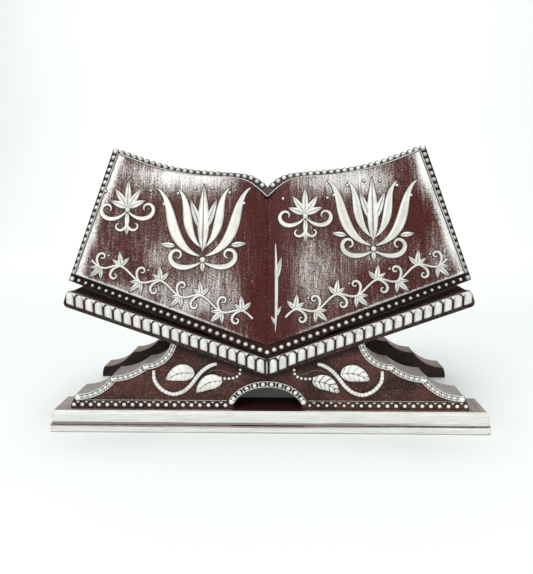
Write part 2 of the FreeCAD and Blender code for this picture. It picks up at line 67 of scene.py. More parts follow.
PANEL = plane((0, PANEL_LOW.y, PLINTH_HIGH.z), (0, 0, 1), (0, -1, 0))
RAIL = plane((0, RAIL_LOW.y, RAIL_LOW.z), (0, 0, 1), (0, -1, 0))
BOOK_ORIGIN = Vector((0, COVER_LOW.y, COVER_LOW.z + COVER_THICK * MM * math.cos(BOOK_TILT)))
BOOK = plane(BOOK_ORIGIN, (0, math.cos(BOOK_TILT), math.sin(BOOK_TILT)),
             (0, -math.sin(BOOK_TILT), math.cos(BOOK_TILT)))

VEE_SLOPE = 0.356
COVER_HALF = COVER_HIGH.x / MM
COVER_CORNER_UP = 39.0
COVER_FOOT_SLOPE = COVER_CORNER_UP / COVER_HALF
COVER_TOP_X = 82.8
PAGE_GUTTER_X = 0.12
PAGE_EDGE_X = PAGE_HIGH.x / MM
PAGE_TOP_X = 79.2
PAGE_FOOT = 5.5
PAGE_CORNER_UP = 41.95
PAGE_FOOT_SLOPE = (PAGE_CORNER_UP - PAGE_FOOT) / PAGE_EDGE_X
PAGE_WIDE = 96.0
PAGE_TALL = 70.0


# -------- small maths

def smooth(low, high, value):
    """0 below low, 1 above high, and an easy curve between."""
    t = min(1.0, max(0.0, (value - low) / (high - low)))
    return t * t * (3 - 2 * t)


def through(points, x):
    """The height at x of a smooth curve through points sorted by x (cubic Hermite)."""
    last = len(points) - 1
    i = max(0, min(last - 1, sum(1 for p in points if p[0] <= x) - 1))
    (x0, y0), (x1, y1) = points[i], points[i + 1]

    def slope(k):
        a = points[max(0, k - 1)]
        b = points[min(last, k + 1)]
        return (b[1] - a[1]) / (b[0] - a[0])

    width = x1 - x0
    t = min(1.0, max(0.0, (x - x0) / width))
    bend0 = slope(i) * width
    bend1 = slope(i + 1) * width
    t2, t3 = t * t, t * t * t
    return (2 * t3 - 3 * t2 + 1) * y0 + (t3 - 2 * t2 + t) * bend0 + (3 * t2 - 2 * t3) * y1 + (t3 - t2) * bend1


def scroll(start, heading, length, bend, curl, steps=44):
    """A path that leaves start at a heading and turns by bend degrees evenly and by curl degrees
    more and more quickly, so that it rolls up towards its end."""
    path = [start]
    x, y = start
    for i in range(steps):
        s = (i + 0.5) / steps
        turn = math.radians(heading + bend * s + curl * s ** 3)
        x += math.cos(turn) * length / steps
        y += math.sin(turn) * length / steps
        path.append((x, y))
    return path


def shares(count):
    """Even steps from 0 to 1."""
    return [k / count for k in range(count + 1)]


def sided(side, path, axis=0.0):
    """A path drawn for the right of an axis, on the side it is wanted: -1 left, 1 right."""
    return [(axis + side * (x - axis), y) for x, y in path]


def turned(side, angle):
    """The same for a heading in degrees."""
    return angle if side > 0 else 180 - angle


def between(a, b, t):
    return a[0] + (b[0] - a[0]) * t, a[1] + (b[1] - a[1]) * t


def beside(spot, heading, off):
    """The point at off to the left of a spot, for one who looks along the heading."""
    return spot[0] - heading[1] * off, spot[1] + heading[0] * off


def route(path):
    """A path's length, and a function for the point and the heading at a distance along it."""
    spans = [math.hypot(b[0] - a[0], b[1] - a[1]) for a, b in zip(path, path[1:])]

    def at(distance):
        for a, b, span in zip(path, path[1:], spans):
            heading = ((b[0] - a[0]) / span, (b[1] - a[1]) / span)
            if distance <= span:
                return between(a, b, distance / span), heading
            distance -= span
        return path[-1], heading

    return sum(spans), at


def evenly(path, pitch):
    """Evenly spaced points on a path, both ends included."""
    total, at = route(path)
    count = max(1, round(total / pitch))
    return [at(total * s)[0] for s in shares(count)]


def swell(fat, thin, peak=0.4):
    """The half width of a brush stroke that swells and tapers to both ends."""
    def half(s):
        reach = s / peak if s < peak else (1 - s) / (1 - peak)
        return thin + (fat - thin) * math.sin(0.5 * math.pi * min(1.0, max(0.0, reach))) ** 1.2
    return half


def page_rise(u, v):
    """How high the page's surface stands over the cover, the same all the way up the page."""
    return through([(0.0, 0.9), (6.0, 2.36), (20.0, 3.8), (60.0, 2.6), (103.2, 2.2)], abs(u))


def add_object(name, data):
    thing = bpy.data.objects.new(name, data)
    bpy.context.scene.collection.objects.link(thing)
    return thing


# -------- a builder for raised work

SINK = 0.3
MOAT_HIGH = 0.05


class Relief:
    """Closed raised shapes on one plane, joined as a single mesh. Each point keeps its rise,
    from 0 at the ground to 1 at the top, which the silver paint follows."""

    def __init__(self, place, ground=lambda u, v: 0.0):
        self.place = place
        self.ground = ground
        self.points = []
        self.faces = []
        self.rises = []

    def point(self, u, v, h, rise):
        self.points.append(self.place @ Vector((u, v, self.ground(u, v) + h)))
        self.rises.append(rise)
        return len(self.points) - 1

    def skin(self, rings):
        """Faces between rings of the same length, each ring closed, with both ends capped."""
        for low, high in zip(rings, rings[1:]):
            for i in range(len(low)):
                j = (i + 1) % len(low)
                self.faces.append((low[i], low[j], high[j], high[i]))
        self.faces.append(tuple(reversed(rings[0])))
        self.faces.append(tuple(rings[-1]))

    def sheet(self, rows, below):
        """Faces over rows of points, closed by a wall and a floor. The floor has the point
        below(point) under each point of the sheet's border, and the border is returned."""
        for low, high in zip(rows, rows[1:]):
            for i in range(len(low) - 1):
                self.faces.append((low[i], low[i + 1], high[i + 1], high[i]))
        border = rows[0] + [row[-1] for row in rows[1:-1]] + rows[-1][::-1]
        border += [row[0] for row in reversed(rows[1:-1])]
        under = [len(self.points) + i for i in range(len(border))]
        self.points += [below(self.points[index]) for index in border]
        self.rises += [0.0] * len(border)
        for i in range(len(border)):
            j = (i + 1) % len(border)
            self.faces.append((border[i], border[j], under[j], under[i]))
        self.faces.append(tuple(under))
        return border

    def circle(self, u, v, radius, up, rise, turns):
        angles = [2 * math.pi * i / turns for i in range(turns)]
        return [self.point(u + radius * math.cos(a), v + radius * math.sin(a), up, rise) for a in angles]

    def dome(self, u, v, radius, height, turns=18, levels=6, moat=0.3, shine=1.0, base=MOAT_HIGH):
        """A round bead in a thin dark ring of ground at the height base. Shine is how much silver
        the bead shows; along the cover's foot, the lower shine further out is painted shade."""
        shape = [(radius + moat, -SINK), (radius + moat, base), (radius, base)]
        for k in range(1, levels + 1):
            lift = 0.47 * math.pi * k / levels
            shape.append((radius * math.cos(lift), max(base, height * math.sin(lift))))

        def rise(up):
            return max(0.0, shine * (up - base) / (height - base))

        self.skin([self.circle(u, v, size, up, rise(up), turns) for size, up in shape])

    def sweep(self, path, half, section, across=9, moat=0.0):
        """A shape that follows a path, with a section over its width and a thin dark moat of
        ground along both sides. Its half width is a number or a function of the way along."""
        count = len(path)
        rings = []
        for k, (x, y) in enumerate(path):
            before = path[max(0, k - 1)]
            after = path[min(count - 1, k + 1)]
            length = math.hypot(after[0] - before[0], after[1] - before[1]) or 1.0
            nx = -(after[1] - before[1]) / length
            ny = (after[0] - before[0]) / length
            s = k / (count - 1)
            wide = half(s) if callable(half) else half
            edge = wide + moat
            skirt = [-SINK, MOAT_HIGH] if moat else [-SINK]
            ring = [self.point(x - nx * edge, y - ny * edge, up, 0.0) for up in skirt]
            for i in range(across):
                t = -math.cos(math.pi * i / (across - 1))
                ring.append(self.point(x + nx * wide * t, y + ny * wide * t, *section(s, t)))
            ring += [self.point(x + nx * edge, y + ny * edge, up, 0.0) for up in reversed(skirt)]
            rings.append(ring)
        self.skin(rings)

    def pit(self, u, v, radius, height):
        """A small dark dimple, flush with a silver strip of the given height."""
        self.skin([self.circle(u, v, radius, up, 0.0, 8) for up in (-SINK, height + 0.02)])

    def plate(self, outline, height, edge):
        """A low plate with a bevelled edge over a convex outline."""
        cx = sum(p[0] for p in outline) / len(outline)
        cy = sum(p[1] for p in outline) / len(outline)

        def ring(inset, up, rise):
            found = []
            for x, y in outline:
                away = math.hypot(x - cx, y - cy)
                keep = max(0.0, 1 - inset / away)
                found.append(self.point(cx + (x - cx) * keep, cy + (y - cy) * keep, up, rise))
            return found

        self.skin([ring(0.0, -SINK, 0.0), ring(0.0, height * 0.45, 0.4),
                   ring(edge * 0.35, height * 0.85, 0.85), ring(edge, height, 1.0)])

    def finish(self, name, paint, *nodes, slot="silver_relief"):
        """The joined mesh as a piece that stands for CAD nodes."""
        mesh = bpy.data.meshes.new(name)
        mesh.from_pydata([tuple(p) for p in self.points], [], self.faces)
        rises = mesh.attributes.new("rise", "FLOAT", "POINT")
        rises.data.foreach_set("value", self.rises)
        mesh.validate()
        mesh.shade_smooth()
        mesh.materials.append(paint)
        piece = add_object(name, mesh)
        recalc_outward(mesh)
        smooth_by_angle(piece, 50)
        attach(piece, "root")
        if nodes:
            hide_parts(*nodes)
        return piece


def recalc_outward(mesh):
    """Turns every closed shell's faces outward."""
    work = bmesh.new()
    work.from_mesh(mesh)
    bmesh.ops.recalc_face_normals(work, faces=work.faces)
    work.to_mesh(mesh)
    work.free()


# Sections: how high, and how worn, a swept shape is at s along it and t across it.

def round_section(height, top=1.0):
    """A round ridge. With a low top, most of its silver has rubbed off."""
    def section(s, t):
        lift = math.sqrt(max(0.0, 1 - t * t))
        return height * lift, lift * top
    return section


def brush_section(height, ends=0.05):
    """A carved stroke: steep sides, a soft shoulder and a slightly hollow top."""
    def section(s, t):
        side = min(1.0, (1 - abs(t)) / 0.3)
        close = min(1.0, min(s, 1 - s) / ends + 0.25)
        lift = (0.25 + 0.75 * math.sin(0.5 * math.pi * side)) * close
        dip = 0.12 * (1 - t * t) * close
        return height * (lift - dip), min(1.0, lift) - 0.36 * (1 - t * t) ** 2 * close
    return section


def leaf_section(height, veins, dark_veins=0.3):
    """A domed leaf with a sunk midrib and slanting veins."""
    def section(s, t):
        lift = (1 - t * t) ** 0.45 * (0.45 + 0.55 * math.sin(math.pi * min(1.0, s * 0.9 + 0.08)))
        rib = math.exp(-(t / 0.09) ** 2)
        slant = (s * veins - abs(t) * 0.9) % 1.0
        vein = math.exp(-((slant - 0.5) / 0.15) ** 2) * (1 - rib) * min(1.0, (1 - abs(t)) * 4)
        worn = max(0.0, min(1.0, lift * 1.4) - 0.85 * rib - dark_veins * vein)
        return height * (lift - 0.4 * rib - 0.2 * vein), worn
    return section


def leaf_half(fat):
    """The half width of a leaf, widest a little before its middle."""
    def half(s):
        return 0.06 + fat * math.sin(math.pi * s ** 0.8) ** 0.9
    return half


# -------- material building

class Paint:
    """A node material, made with short calls. All patterns are in the row frame's metres."""

    def __init__(self, name):
        self.material = bpy.data.materials.new(name)
        self.material.use_nodes = True
        self.tree = self.material.node_tree
        self.shader = self.tree.nodes["Principled BSDF"]
        self.spot = self.add("ShaderNodeTexCoord").outputs["Object"]

    def set(self, node, socket, value):
        if isinstance(value, bpy.types.NodeSocket):
            self.tree.links.new(value, node.inputs[socket])
        else:
            node.inputs[socket].default_value = value

    def add(self, kind, inputs=(), **settings):
        """A new node with its settings made, and each input set or linked."""
        node = self.tree.nodes.new(kind)
        for name, value in settings.items():
            setattr(node, name, value)
        for socket, value in dict(inputs).items():
            self.set(node, socket, value)
        return node

    def math(self, kind, a, b=0.0):
        return self.add("ShaderNodeMath", {0: a, 1: b}, operation=kind).outputs[0]

    def plus(self, a, b):
        return self.math("ADD", a, b)

    def minus(self, a, b):
        return self.math("SUBTRACT", a, b)

    def times(self, a, b):
        return self.math("MULTIPLY", a, b)

    def vector(self, kind, a, b):
        node = self.add("ShaderNodeVectorMath", {0: a, 1: b}, operation=kind)
        return node.outputs["Value" if kind == "DOT_PRODUCT" else "Vector"]

    def noise(self, cells, detail=3.0, rough=0.55, spot=None):
        """Noise with so many cells per metre, as one number or one for each axis."""
        stretch = cells if isinstance(cells, tuple) else (cells, cells, cells)
        place = self.vector("MULTIPLY", spot or self.spot, stretch)
        inputs = {"Vector": place, "Scale": 1.0, "Detail": detail, "Roughness": rough}
        return self.add("ShaderNodeTexNoise", inputs).outputs["Fac"]

    def range(self, value, low, high, to_low=0.0, to_high=1.0):
        """An easy curve from to_low, where the value is low, to to_high, where it is high."""
        inputs = {"Value": value, "From Min": low, "From Max": high, "To Min": to_low, "To Max": to_high}
        return self.add("ShaderNodeMapRange", inputs, interpolation_type="SMOOTHSTEP").outputs["Result"]

    def mix(self, share, a, b):
        return self.add("ShaderNodeMix", {"Factor": share, 6: a, 7: b}, data_type="RGBA").outputs[2]

    def attribute(self, name):
        return self.add("ShaderNodeAttribute", attribute_name=name).outputs["Fac"]

    def book_spot(self):
        """The point in the book's own plane: across, up the page, out of the page."""
        inputs = {"Vector": self.spot, "Location": BOOK_ORIGIN, "Rotation": (BOOK_TILT, 0, 0)}
        return self.add("ShaderNodeMapping", inputs, vector_type="TEXTURE").outputs["Vector"]

    def axis(self, spot, index):
        return self.add("ShaderNodeSeparateXYZ", {0: spot}).outputs[index]

    def off_middle(self, spot):
        """How far a point is from the middle of the stand, to either side."""
        return self.math("ABSOLUTE", self.axis(spot, 0))

    def facing(self, direction):
        """How much the surface faces a direction, from -1 to 1."""
        normal = self.add("ShaderNodeNewGeometry").outputs["Normal"]
        return self.vector("DOT_PRODUCT", normal, direction)

    def bump(self, height, distance, strength=0.6):
        inputs = {"Strength": strength, "Distance": distance, "Height": height}
        self.set(self.shader, "Normal", self.add("ShaderNodeBump", inputs).outputs["Normal"])

    def finish(self, colour, roughness, metal=0.0, gloss=0.5):
        for socket, value in (("Base Color", colour), ("Roughness", roughness), ("Metallic", metal),
                              ("Specular IOR Level", gloss)):
            self.set(self.shader, socket, value)
        return self.material


def rgb(red, green, blue):
    """A colour given on the usual 0 to 255 scale, as linear values."""
    def linear(c):
        c = c / 255.0
        return c / 12.92 if c <= 0.04045 else ((c + 0.055) / 1.055) ** 2.4
    return (linear(red), linear(green), linear(blue), 1.0)


SILVER = rgb(240, 240, 236)
SILVER_DULL = rgb(204, 201, 195)
PATINA = rgb(30, 14, 10)
UMBER = rgb(90, 52, 44)
UMBER_DARK = rgb(48, 23, 19)
TAUPE = rgb(142, 128, 120)
SHADE_UNDER_BOARDS = rgb(16, 7, 5)
SHADOW = rgb(10, 5, 4)


def silver_paint(name, bare=0.3, bright=SILVER, dull=SILVER_DULL):
    """Silver brushed over dark resin: it misses the foot of each raised shape."""
    paint = Paint(name)
    rise = paint.attribute("rise")
    speck = paint.noise(1900, 4.0, 0.6)
    cloud = paint.noise(180, 2.0)
    worn = paint.plus(rise, paint.times(paint.minus(speck, 0.5), 0.5))
    cover = paint.range(worn, bare - 0.14, bare + 0.2)
    # Random brighter specks, and a painted highlight: the tops of raised shapes are painted brighter than
    # their sides.
    specks_and_highlight = paint.times(paint.range(paint.plus(speck, cloud), 0.7, 1.15),
                     paint.range(rise, 0.6, 0.92, 0.25, 1.0))
    tone = paint.mix(specks_and_highlight, dull, bright)
    colour = paint.mix(cover, PATINA, tone)
    paint.bump(speck, 0.00012)
    roughness = paint.range(speck, 0.3, 0.7, 0.3, 0.5)
    return paint.finish(colour, roughness, paint.times(cover, 0.25), 0.3)


def resin_paint(name, light, dark, dust=0.0, top=TAUPE, top_lighting_share=0.75, under_board_shade=0.0, reach=7.0,
                fleck=0.5, shade=0.0, gloss=0.2):
    """Matt stained resin with a fine leathery grain and a little silver caught in it. The faces that
    look up take the top tone: painted light from above on the panels, painted shade on the boards
    and rails. Painted shade darkens the front faces for reach millimetres under the V boards, and
    shade is how strong a painted shadow is on what lies just behind the rails."""
    paint = Paint(name)
    grain = paint.noise(1300, 5.0, 0.65)
    fibre = paint.noise((420, 420, 1500), 4.0, 0.6)
    patch = paint.noise(60)
    tone = paint.mix(paint.range(patch, 0.35, 0.65), dark, light)
    speckled = paint.mix(paint.range(grain, 0.52, 0.68, 0.0, fleck), tone, TAUPE)
    pitted = paint.mix(paint.range(grain, 0.32, 0.49, 0.75, 0.0), speckled, PATINA)
    lined = paint.mix(paint.range(fibre, 0.36, 0.48, 0.5, 0.0), pitted, PATINA)
    flecks = paint.noise(700, 6.0, 0.75)
    colour = paint.mix(paint.range(flecks, 0.60, 0.72, 0.0, dust), lined, SILVER_DULL)
    across = paint.off_middle(paint.spot)
    vee = paint.plus(paint.times(across, VEE_SLOPE), RAIL_LOW.z)
    below = paint.minus(vee, paint.axis(paint.spot, 2))
    # Painted shade under the V boards: the front faces are darkened for reach millimetres below them.
    under_board_shading = paint.times(paint.range(below, 0.5 * MM, reach * MM, under_board_shade, 0.0),
                        paint.range(paint.facing((0, -1, 0)), 0.4, 0.9))
    colour = paint.mix(under_board_shading, colour, SHADE_UNDER_BOARDS)
    # Painted light and shade: faces that look up are mixed towards the top tone, a lighter tone for light
    # from above on the panels and a darker one for shade on the boards and rails.
    upward_lighting = paint.range(paint.facing((0, 0, 1)), 0.35, 0.8, 0.0, top_lighting_share)
    topping = paint.mix(paint.range(grain, 0.25, 0.5), tone, top)
    colour = paint.mix(paint.times(upward_lighting, paint.range(grain, 0.2, 0.5, 0.7, 1.0)), colour, topping)
    # Painted shadow on what lies just behind the rails, weaker near the middle.
    behind = paint.minus(paint.axis(paint.spot, 1), RAIL_LOW.y)
    shaded = paint.times(paint.range(behind, 6 * MM, 26 * MM, shade, 0.0),
                         paint.range(across, 10 * MM, 50 * MM, 0.3, 1.0))
    colour = paint.mix(shaded, colour, SHADOW)
    paint.bump(paint.plus(grain, fibre), 0.0002, 0.8)
    return paint.finish(colour, paint.range(grain, 0.3, 0.7, 0.42, 0.62), gloss=gloss)


def plinth_paint():
    """Silver faces with level brush streaks and a dark groove, fainter to the right, and a grey
    wash on top that is brown under the arch."""
    paint = Paint("plinth_brushed_silver")
    streak = paint.noise((22, 300, 1500), 5.0, 0.65)
    fine = paint.noise((60, 800, 2600), 4.0, 0.7)
    height = paint.axis(paint.spot, 2)
    groove_z = PLINTH_LOW.z + 4.3 * MM
    near = paint.math("ABSOLUTE", paint.minus(height, groove_z))
    groove = paint.range(near, 0.7 * MM, 1.9 * MM, 1.0, 0.0)
    depth = paint.range(paint.axis(paint.spot, 0), 30 * MM, 80 * MM, 0.46, 0.2)
    thin = paint.plus(paint.times(groove, depth), streak)
    bare = paint.range(paint.plus(thin, paint.times(fine, 0.25)), 0.8, 1.0, 0.0, 0.85)
    sunk = paint.times(paint.range(height, 4.4 * MM, 4.6 * MM, 1.0, 0.0),
                       paint.range(height, 3.4 * MM, 3.6 * MM))
    bare = paint.times(bare, paint.minus(1.0, sunk))
    # Painted contact shadow: a thin brown line along the very bottom edge, where the plinth meets the floor.
    bare = paint.math("MAXIMUM", bare, paint.range(height, 0.2 * MM, 0.7 * MM, 0.7, 0.0))
    top = paint.range(paint.facing((0, 0, 1)), 0.8, 0.95)
    wash = paint.noise((260, 40, 260), 4.0, 0.6)
    silver = paint.mix(paint.range(fine, 0.3, 0.65), SILVER_DULL, SILVER)
    face = paint.mix(bare, silver, rgb(118, 98, 90))
    topping = paint.mix(paint.range(wash, 0.3, 0.7), rgb(112, 98, 92), rgb(152, 142, 136))
    under_arch = paint.range(paint.off_middle(paint.spot), 17 * MM, 20 * MM, 1.0, 0.0)
    topping = paint.mix(under_arch, topping, rgb(56, 28, 25))
    colour = paint.mix(top, face, topping)
    paint.bump(fine, 0.0001, 0.5)
    return paint.finish(colour, paint.range(streak, 0.3, 0.7, 0.34, 0.55))


def page_paint():
    """A maroon page with silver dragged up and down it by a dry brush."""
    paint = Paint("page_dry_brushed")
    spot = paint.book_spot()
    brush = paint.attribute("brush")
    drag = paint.noise((1100, 45, 300), 4.0, 0.6, spot)
    hair = paint.noise((2600, 120, 300), 3.0, 0.6, spot)
    grain = paint.noise((1500, 2100, 600), 3.0, 0.65, spot)
    cloud = paint.noise((160, 60, 60), 3.0, 0.6, spot)
    streaks = paint.plus(paint.times(drag, 0.7), paint.times(hair, 0.8))
    streaks = paint.plus(streaks, paint.times(grain, 1.5))
    streaks = paint.plus(streaks, paint.times(cloud, 0.6))
    level = paint.plus(paint.minus(streaks, 1.8), brush)
    cover = paint.range(level, 0.3, 1.2)
    ground = paint.mix(paint.range(grain, 0.38, 0.6), rgb(36, 8, 6), rgb(88, 27, 21))
    dusty = paint.mix(paint.range(level, -0.02, 0.7, 0.0, 0.55), ground, rgb(120, 95, 90))
    colour = paint.mix(cover, dusty, SILVER)
    paint.bump(paint.plus(drag, grain), 0.00012, 0.5)
    roughness = paint.range(cover, 0.0, 1.0, 0.5, 0.36)
    return paint.finish(colour, roughness, paint.times(cover, 0.2), 0.2)


def cover_paint():
    """The book's back board. In front, the rim under the beads is brown near the spine and darker
    further out, near black, which is painted shade; it is silver-grey along the top. The sides
    are dusted, the back is plain."""
    paint = Paint("cover_stained")
    spot = paint.book_spot()
    grain = paint.noise(1500, 4.0, 0.65)
    patch = paint.noise(90, 5.0, 0.6)
    front = paint.range(paint.axis(spot, 2), -0.6 * MM, -0.2 * MM)
    rim = paint.mix(paint.range(grain, 0.38, 0.66), rgb(30, 12, 9), rgb(74, 42, 35))
    # Painted shade: the front rim is darkened to near black towards the outer ends.
    outward = paint.range(paint.off_middle(spot), 15 * MM, 70 * MM, 0.0, 0.75)
    rim = paint.mix(outward, rim, rgb(14, 6, 5))
    up_page = paint.axis(spot, 1)
    side_at_foot, side_lean = 114.5 * MM, 0.286
    side_line = paint.minus(side_at_foot, paint.times(up_page, side_lean))
    from_side = paint.minus(side_line, paint.off_middle(spot))
    upper = paint.times(paint.range(up_page, 74 * MM, 83 * MM), paint.range(from_side, 2 * MM, 5 * MM))
    upper = paint.times(upper, paint.range(paint.axis(spot, 0), -10 * MM, 30 * MM, 0.35, 1.0))
    rim = paint.mix(paint.times(upper, paint.range(grain, 0.3, 0.55)), rim, rgb(122, 116, 110))
    fibre = paint.noise((900, 60, 300), 4.0, 0.6, spot)
    back = paint.mix(paint.range(patch, 0.25, 0.75), UMBER_DARK, UMBER)
    back = paint.mix(paint.range(grain, 0.34, 0.5, 0.6, 0.0), back, PATINA)
    back = paint.mix(paint.range(fibre, 0.5, 0.72, 0.0, 0.12), back, TAUPE)
    edge = paint.mix(paint.range(grain, 0.4, 0.6, 0.2, 0.7), back, TAUPE)
    sideways = paint.range(paint.facing((0, math.sin(BOOK_TILT), -math.cos(BOOK_TILT))), 0.3, 0.7)
    body = paint.mix(sideways, edge, back)
    paint.bump(grain, 0.0002, 0.6)
    return paint.finish(paint.mix(front, body, rim), paint.range(grain, 0.3, 0.7, 0.45, 0.62), gloss=0.2)


def floor_paint():
    paint = Paint("floor_pale")
    cloud = paint.noise(3, 2.0)
    colour = paint.mix(cloud, rgb(230, 234, 232), rgb(236, 239, 238))
    return paint.finish(colour, paint.range(cloud, 0.3, 0.7, 0.65, 0.8))


# -------- modifiers for CAD nodes

def smooth_group():
    """Geometry nodes that shade smooth all but edges sharper than an angle."""
    group = bpy.data.node_groups.new("smooth_by_angle", "GeometryNodeTree")
    for name, way, kind in (("Geometry", "INPUT", "Geometry"), ("Angle", "INPUT", "Float"),
                            ("Geometry", "OUTPUT", "Geometry")):
        group.interface.new_socket(name, in_out=way, socket_type="NodeSocket" + kind)
    start = group.nodes.new("NodeGroupInput")
    end = group.nodes.new("NodeGroupOutput")
    whole = group.nodes.new("GeometryNodeSetShadeSmooth")
    sharp = group.nodes.new("GeometryNodeSetShadeSmooth")
    sharp.domain = "EDGE"
    sharp.inputs["Shade Smooth"].default_value = False
    angle = group.nodes.new("GeometryNodeInputMeshEdgeAngle")
    over = group.nodes.new("FunctionNodeCompare")
    over.operation = "GREATER_THAN"
    link = group.links.new
    link(start.outputs["Geometry"], whole.inputs["Geometry"])
    link(whole.outputs["Geometry"], sharp.inputs["Geometry"])
    link(angle.outputs["Unsigned Angle"], over.inputs[0])
    link(start.outputs["Angle"], over.inputs[1])
    link(over.outputs["Result"], sharp.inputs["Selection"])
    link(sharp.outputs["Geometry"], end.inputs["Geometry"])
    return group


SMOOTH = smooth_group()


def smooth_by_angle(obj, degrees):
    modifier = obj.modifiers.new("smooth", "NODES")
    modifier.node_group = SMOOTH
    socket = [item.identifier for item in SMOOTH.interface.items_tree
              if item.name == "Angle" and item.in_out == "INPUT"][0]
    modifier[socket] = math.radians(degrees)


def dress(node, paint, bevel):
    """Gives a CAD node its material, softened edges and smooth shading."""
    piece = NODES[node]
    piece.data.materials.clear()
    piece.data.materials.append(paint)
    weld = piece.modifiers.new("weld", "WELD")
    weld.merge_threshold = 0.002 * MM
    soften = piece.modifiers.new("soften", "BEVEL")
    soften.width = bevel * MM
    soften.segments = 3
    soften.limit_method = "ANGLE"
    soften.angle_limit = math.radians(35)
    smooth_by_angle(piece, 32)


# -------- rail: teeth and fillets

TOOTH_COUNT = 21
TOOTH_PITCH_X = 4.97 / math.hypot(1, VEE_SLOPE)
TOOTH_FIRST = 3.2
TOOTH_HALF = 1.9
TOOTH_FOOT = 0.85
TOOTH_LIFT = 1.2
TOOTH_TALL = 6.9
TOOTH_CROWN = 1.5
TOOTH_OUT = 0.95
FILLET_UP = 8.55


def tooth(relief, side, x):
    """A pillow-shaped tooth: a foot cut along the rail, upright sides and an arched top. Away
    from the middle of the V the teeth stand higher and are shorter."""
    raised = TOOTH_LIFT * smooth(3, 20, x)
    low = TOOTH_FOOT + raised
    shoulder = VEE_SLOPE * x + low + TOOTH_TALL - 0.6 * raised - TOOTH_CROWN
    columns = 9
    rows = []
    for s in shares(12):
        ends = min(1.0, math.sin(math.pi * (0.03 + 0.94 * s)) * 2.2) ** 0.7
        row = []
        for i in range(columns):
            t = -math.cos(math.pi * i / (columns - 1))
            foot = VEE_SLOPE * (x + side * TOOTH_HALF * t) + low
            head = shoulder + TOOTH_CROWN * math.sqrt(max(0.0, 1 - t * t))
            up = foot + (head - foot) * s
            lift = (1 - t * t) ** 0.55 * ends
            row.append(relief.point(side * x + TOOTH_HALF * t, up, TOOTH_OUT * lift, lift))
        rows.append(row)
    back = relief.place.to_3x3() @ Vector((0, 0, -0.4))
    relief.sheet(rows, lambda point: point + back)


def gadroon_row(side, word):
    """Teeth along one rail, with small points between their heads and a fillet over them."""
    relief = Relief(RAIL)
    for i in range(TOOTH_COUNT):
        tooth(relief, side, TOOTH_FIRST + i * TOOTH_PITCH_X)
    half, drop = 1.15, 1.75
    for i in range(TOOTH_COUNT - 1):
        x = TOOTH_FIRST + (i + 0.5) * TOOTH_PITCH_X
        top = VEE_SLOPE * x + FILLET_UP - 0.1
        relief.plate([(side * (x - half), top - VEE_SLOPE * half), (side * x, top - drop),
                      (side * (x + half), top + VEE_SLOPE * half)][::side], 0.55, 0.25)
    far = RAIL_HIGH.x / MM - 2.6
    line = [(x, VEE_SLOPE * x + FILLET_UP) for x in (far * (0.01 + 0.99 * s) for s in shares(40))]
    relief.sweep(sided(side, line), 0.2, round_section(0.35, 0.36), 5)
    relief.finish(word + "gadroon_row", TOOTH_SILVER, word + "gadroons")


def rail_divider():
    relief = Relief(RAIL)
    path = [(0.0, 1.4 + 6.4 * s) for s in shares(10)]
    relief.sweep(path, lambda s: 0.34 * math.sin(math.pi * (0.12 + 0.76 * s)) ** 0.5, round_section(0.8), 7)
    relief.finish("rail_divider", TOOTH_SILVER, "rail_centre_bead")


# -------- leg panel: bands and beads

SCALLOP = [(98.0, 8.0), (78.7, 17.9), (61.9, 24.3), (48.0, 35.8)]
BAND = 3.1
ARCH_HALF = 17.6
BASE_COUNT = 19
BASE_PITCH = 4.34
BASE_START = 21.4
BASE_UP = 2.35


def arc_path(outer, inner, drop):
    """Points at drop below a hollow arc that leaves the outer point level and climbs inwards."""
    dx = inner[0] - outer[0]
    dz = inner[1] - outer[1]
    radius = (dx * dx + dz * dz) / (2 * dz)
    middle = outer[1] + radius
    start = -0.5 * math.pi
    end = math.atan2(inner[1] - middle, dx)
    reach = radius + drop
    angles = [start + (end - start) * s for s in shares(22)]
    return [(outer[0] + reach * math.cos(a), middle + reach * math.sin(a)) for a in angles]


def chain(relief, path, pitch, radius, moat, fill, base):
    """Beads along a path, with fill(spot, heading) called for the middle of each gap."""
    total, at = route(path)
    count = max(2, round(total / pitch))
    for i in range(count):
        x, y = at(total * (i + 0.5) / count)[0]
        relief.dome(x, y, radius, 1.0, 14, 5, moat=moat, shine=1.6, base=base)
        if i < count - 1:
            fill(*at(total * (i + 1) / count))


def scallop_band(side, word):
    """The silver band under the scalloped edge: a flat strip, two lips, beads and small pits."""
    relief = Relief(PANEL)
    strip = 0.4
    lip = 0.24

    def pits(spot, heading):
        for way in (-1, 1):
            relief.pit(*beside(spot, heading, way * 0.78), 0.42, strip)

    for outer, inner in zip(SCALLOP, SCALLOP[1:]):
        middle = sided(side, arc_path(outer, inner, 0.5 * BAND))
        relief.sweep(middle, 0.5 * BAND - 0.05, lambda s, t: (strip, 0.48), 3)
        for drop in (lip, BAND - lip):
            relief.sweep(sided(side, arc_path(outer, inner, drop)), lip, round_section(0.75), 5)
        chain(relief, middle, 2.85, 0.92, 0.12, pits, strip + 0.02)
    for x, z in SCALLOP[1:3]:
        relief.dome(side * x, z - 0.62 * BAND, 1.25, 1.1, moat=0.2, base=strip + 0.02)
    foot_x, foot_z = SCALLOP[0]
    relief.dome(side * (foot_x - 0.6), foot_z - 0.5 * BAND - 0.4, 1.6, 1.1, moat=0.2)
    relief.finish(word + "scallop_band", BAND_SILVER, word + "scallop_beading")


